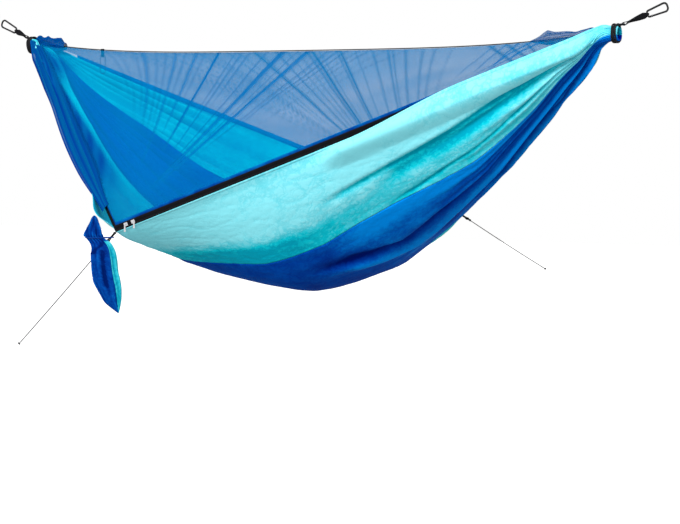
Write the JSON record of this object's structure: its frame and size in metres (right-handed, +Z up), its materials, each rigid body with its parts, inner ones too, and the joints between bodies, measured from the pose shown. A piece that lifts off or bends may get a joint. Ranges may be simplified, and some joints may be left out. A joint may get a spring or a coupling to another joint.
{
  "type": "double hammock with insect net",
  "caption": "Wide gathered-end hammock in two blues with a zipped insect net on a ridge line, corner guy lines, a stuff sack and snap hooks.",
  "frame": {"origin": "bearing point inside the crown of the left carabiner", "axes": "+X level from the left carabiner to the right one, +Y level away from the zipped side, +Z up"},
  "size_m": [2.2573, 1.9068, 0.9294],
  "materials": {
    "royal_cloth": "thin crinkled parachute nylon, royal blue",
    "aqua_cloth": "thin crinkled parachute nylon, pale aqua",
    "royal_net": "fine knitted insect mesh, royal blue",
    "black_webbing": "woven black tape and webbing",
    "black_cord": "braided black cord",
    "grey_cord": "thin braided dark cord",
    "black_metal": "black coated steel, satin",
    "bright_metal": "bright plated"
  },
  "bodies": {
    "hammock": {"centre_panel": "royal_cloth", "near_border": "royal_cloth", "far_border": "royal_cloth", "near_panel": "aqua_cloth", "far_panel": "aqua_cloth", "near_net": "royal_net", "far_net": "royal_net", "left_net_hood": "royal_net", "right_net_hood": "royal_net", "zip_lower_tape": "black_webbing", "zip_upper_tape": "black_webbing", "zip_lower_coil": "black_webbing", "zip_upper_coil": "black_webbing", "ridge_loop": "black_webbing", "left_sling": "black_webbing", "right_sling": "black_webbing", "near_corner_loop": "black_webbing", "far_corner_loop": "black_webbing", "ridge_line": "black_cord", "ridge_pendant": "black_cord", "left_end_band": "black_cord", "right_end_band": "black_cord", "near_guy_knot": "black_cord", "far_guy_knot": "black_cord", "near_guyline": "grey_cord", "far_guyline": "grey_cord", "near_guy_end_knot": "grey_cord", "far_guy_end_knot": "grey_cord", "left_zip_stop": "bright_metal", "right_zip_stop": "bright_metal"},
    "left_carabiner": {"left_carabiner": "black_metal", "left_carabiner_pin": "bright_metal"},
    "left_gate": {"left_carabiner_gate": "black_metal", "left_carabiner_spring": "bright_metal"},
    "right_carabiner": {"right_carabiner": "black_metal", "right_carabiner_pin": "bright_metal"},
    "right_gate": {"right_carabiner_gate": "black_metal", "right_carabiner_spring": "bright_metal"},
    "left_slider": {"left_slider": "bright_metal"},
    "left_pull": {"left_slider_pull": "bright_metal"},
    "right_slider": {"right_slider": "bright_metal"},
    "right_pull": {"right_slider_pull": "bright_metal"},
    "sack": {"stuff_sack": "royal_cloth", "sack_drawcord": "royal_cloth"}
  },
  "joints": [
    {"name": "left_carabiner_swing", "type": "hinge", "parent": "hammock", "child": "left_carabiner", "pos_m": [0.0515, 0, -0.02512], "axis": [0.4384, 0, 0.8988], "range_deg": [-75, 75]},
    {"name": "left_gate_open", "type": "hinge", "parent": "left_carabiner", "child": "left_gate", "pos_m": [0.03764, 0, -0.02851], "axis": [0, 1, 0], "range_deg": [0, 20], "stiffness_Nm_per_rad": 0.1, "springref_deg": -20.05},
    {"name": "right_carabiner_swing", "type": "hinge", "parent": "hammock", "child": "right_carabiner", "pos_m": [2.18857, 0, -0.02224], "axis": [-0.342, 0, 0.9397], "range_deg": [-75, 75]},
    {"name": "right_gate_open", "type": "hinge", "parent": "right_carabiner", "child": "right_gate", "pos_m": [2.202, 0, -0.02706], "axis": [0, -1, 0], "range_deg": [0, 20], "stiffness_Nm_per_rad": 0.1, "springref_deg": -20.05},
    {"name": "left_slider_run", "type": "slide", "parent": "hammock", "child": "left_slider", "axis": [0.8047, 0.4619, 0.3729], "range_m": [-0.02, 0.005]},
    {"name": "right_slider_run", "type": "slide", "parent": "hammock", "child": "right_slider", "axis": [0.8047, 0.4619, 0.3729], "range_m": [-0.005, 1.25]},
    {"name": "left_pull_turn", "type": "hinge", "parent": "left_slider", "child": "left_pull", "pos_m": [0.92998, -0.68069, -0.59732], "axis": [0.4979, -0.8673, 0], "range_deg": [-60, 45]},
    {"name": "right_pull_turn", "type": "hinge", "parent": "right_slider", "child": "right_pull", "pos_m": [0.95171, -0.66822, -0.58725], "axis": [0.4979, -0.8673, 0], "range_deg": [-40, 60]},
    {"name": "sack_swing", "type": "hinge", "parent": "hammock", "child": "sack", "pos_m": [0.8979, -0.7003, -0.63171], "axis": [-0.8829, -0.4695, 0], "range_deg": [0, 35]}
  ]
}
